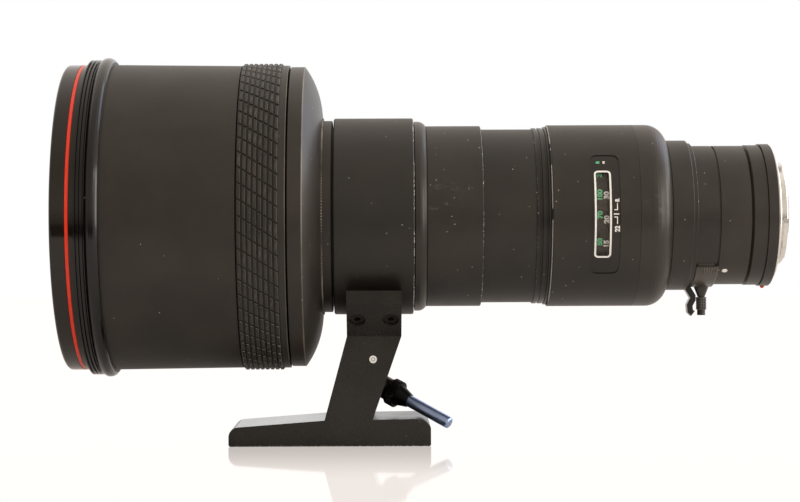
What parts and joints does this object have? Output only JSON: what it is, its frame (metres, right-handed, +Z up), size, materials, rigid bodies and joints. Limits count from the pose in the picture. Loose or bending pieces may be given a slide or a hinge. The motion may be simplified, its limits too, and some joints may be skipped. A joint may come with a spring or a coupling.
{
  "type": "super telephoto lens",
  "caption": "Super telephoto lens with drum front, focus grip, rotating tripod collar and foot, distance window, drop-in filter and bayonet mount.",
  "frame": {"origin": "mouth centre of the large tripod socket in the foot's flat underside", "axes": "+X along the optical axis towards the camera mount, +Y away from the distance window's side, +Z up from the tripod face"},
  "size_m": [0.3342, 0.1498, 0.181],
  "materials": {
    "black_paint": "matt black anodised and painted aluminium",
    "drum_paint": "matt warm black",
    "front_gloss": "gloss black",
    "grip_rubber": "matt ribbed rubber",
    "foot_paint": "satin black",
    "bright_metal": "polished chrome",
    "steel": "polished steel",
    "dark_steel": "black oxide",
    "inner_black": "matt black anodised",
    "inner_metal": "plain machined",
    "brass": "machined",
    "liner": "bearing plastic",
    "black_plastic": "moulded black",
    "window_clear": "clear",
    "coated_glass": "coated optical glass"
  },
  "bodies": {
    "stand": {"tripod_collar": "black_paint", "collar_liner": "liner", "tripod_foot": "foot_paint", "foot_screws": "dark_steel", "leg_pin": "steel", "brake_plunger": "brass", "lock_washer": "black_plastic"},
    "lock": {"lock_screw": "dark_steel", "lock_rod": "steel"},
    "lens": {"front_ring": "front_gloss", "front_barrel": "drum_paint", "front_cell": "inner_black", "retaining_rings": "inner_black", "front_element": "coated_glass", "second_element": "coated_glass", "bearing_tube": "inner_black", "shoulder_housing": "black_paint", "neck_ring": "black_paint", "main_tube": "inner_metal", "collar_retaining_ring": "black_paint", "mid_barrel": "drum_paint", "inner_barrel": "drum_paint", "ribbed_ring": "black_paint", "af_housing": "black_paint", "window_panel": "black_plastic", "window_glass": "window_clear", "rear_shoulder": "black_paint", "rear_ring": "black_paint", "filter_section": "black_paint", "rear_barrel": "black_paint", "mount_ring": "black_paint", "bayonet_mount": "bright_metal", "mount_screws": "steel", "contact_block": "black_plastic", "rear_frame": "inner_black", "rear_element": "coated_glass", "iris_housing": "inner_black", "guide_bars": "steel"},
    "focus": {"focus_ring": "drum_paint", "focus_grip": "grip_rubber"},
    "cluster": {"cluster_pinion": "brass"},
    "helicoid": {"helicoid_tube": "brass", "scale_drum": "inner_metal"},
    "focus_group": {"focus_cell": "inner_black", "focus_element": "coated_glass"},
    "af_drive": {"af_shaft": "steel"},
    "iris_ring": {"iris_actuator": "inner_metal"},
    "filter_drawer": {"filter_holder": "inner_black", "filter_glass": "window_clear"},
    "filter_lock": {"filter_knob": "steel"},
    "blade_1": {"iris_blade_1": "dark_steel"},
    "blade_2": {"iris_blade_2": "dark_steel"},
    "blade_3": {"iris_blade_3": "dark_steel"},
    "blade_4": {"iris_blade_4": "dark_steel"},
    "blade_5": {"iris_blade_5": "dark_steel"},
    "blade_6": {"iris_blade_6": "dark_steel"},
    "blade_7": {"iris_blade_7": "dark_steel"}
  },
  "joints": [
    {"name": "collar_rotation", "type": "hinge", "parent": "stand", "child": "lens", "pos_m": [0.0206, 0, 0.1061], "axis": [1, 0, 0], "continuous": true},
    {"name": "lock_turn", "type": "hinge", "parent": "stand", "child": "lock", "pos_m": [0.03037, 0, 0.02283], "axis": [0.7986, -0.43, -0.421], "range_deg": [0, 720]},
    {"name": "focus_turn", "type": "hinge", "parent": "lens", "child": "focus", "pos_m": [-0.03, 0, 0.1061], "axis": [1, 0, 0], "range_deg": [-44, 176]},
    {"name": "cluster_turn", "type": "hinge", "parent": "lens", "child": "cluster", "pos_m": [-0.0125, 0, 0.1621], "axis": [1, 0, 0], "range_deg": [-291, 1163]},
    {"name": "helicoid_turn", "type": "hinge", "parent": "lens", "child": "helicoid", "pos_m": [0, 0, 0.1061], "axis": [1, 0, 0], "range_deg": [-195, 49]},
    {"name": "focus_travel", "type": "slide", "parent": "lens", "child": "focus_group", "axis": [1, 0, 0], "range_m": [-0.0029, 0.0113]},
    {"name": "af_turn", "type": "hinge", "parent": "lens", "child": "af_drive", "pos_m": [0.206, 0.0282, 0.1061], "axis": [1, 0, 0], "range_deg": [-1356, 340]},
    {"name": "iris_turn", "type": "hinge", "parent": "lens", "child": "iris_ring", "pos_m": [0.117, 0, 0.1061], "axis": [1, 0, 0], "range_deg": [0, 20], "stiffness_Nm_per_rad": 0.05},
    {"name": "blade_turn_1", "type": "hinge", "parent": "lens", "child": "blade_1", "pos_m": [0.115, 0, 0.0751], "axis": [1, 0, 0], "range_deg": [-0.5, 25.5]},
    {"name": "blade_turn_2", "type": "hinge", "parent": "lens", "child": "blade_2", "pos_m": [0.115, 0.02424, 0.08677], "axis": [1, 0, 0], "range_deg": [-0.5, 25.5]},
    {"name": "blade_turn_3", "type": "hinge", "parent": "lens", "child": "blade_3", "pos_m": [0.115, 0.03022, 0.113], "axis": [1, 0, 0], "range_deg": [-0.5, 25.5]},
    {"name": "blade_turn_4", "type": "hinge", "parent": "lens", "child": "blade_4", "pos_m": [0.115, 0.01345, 0.13403], "axis": [1, 0, 0], "range_deg": [-0.5, 25.5]},
    {"name": "blade_turn_5", "type": "hinge", "parent": "lens", "child": "blade_5", "pos_m": [0.115, -0.01345, 0.13403], "axis": [1, 0, 0], "range_deg": [-0.5, 25.5]},
    {"name": "blade_turn_6", "type": "hinge", "parent": "lens", "child": "blade_6", "pos_m": [0.115, -0.03022, 0.113], "axis": [1, 0, 0], "range_deg": [-0.5, 25.5]},
    {"name": "blade_turn_7", "type": "hinge", "parent": "lens", "child": "blade_7", "pos_m": [0.115, -0.02424, 0.08677], "axis": [1, 0, 0], "range_deg": [-0.5, 25.5]},
    {"name": "filter_pull", "type": "slide", "parent": "lens", "child": "filter_drawer", "axis": [0, 0, -1], "range_m": [0, 0.056]},
    {"name": "filter_lock_turn", "type": "hinge", "parent": "filter_drawer", "child": "filter_lock", "pos_m": [0.1748, 0, 0.0661], "axis": [0, 0, -1], "range_deg": [0, 90]}
  ],
  "couplings": [
    {"joint": "cluster_turn", "follows": "focus_turn", "ratio": 6.6},
    {"joint": "helicoid_turn", "follows": "focus_turn", "ratio": -1.1},
    {"joint": "focus_travel", "follows": "focus_turn", "m_per_rad": 0.0036461},
    {"joint": "af_turn", "follows": "focus_turn", "ratio": -7.7},
    {"joint": "blade_turn_1", "follows": "iris_turn", "ratio": 1.25},
    {"joint": "blade_turn_2", "follows": "iris_turn", "ratio": 1.25},
    {"joint": "blade_turn_3", "follows": "iris_turn", "ratio": 1.25},
    {"joint": "blade_turn_4", "follows": "iris_turn", "ratio": 1.25},
    {"joint": "blade_turn_5", "follows": "iris_turn", "ratio": 1.25},
    {"joint": "blade_turn_6", "follows": "iris_turn", "ratio": 1.25},
    {"joint": "blade_turn_7", "follows": "iris_turn", "ratio": 1.25}
  ]
}
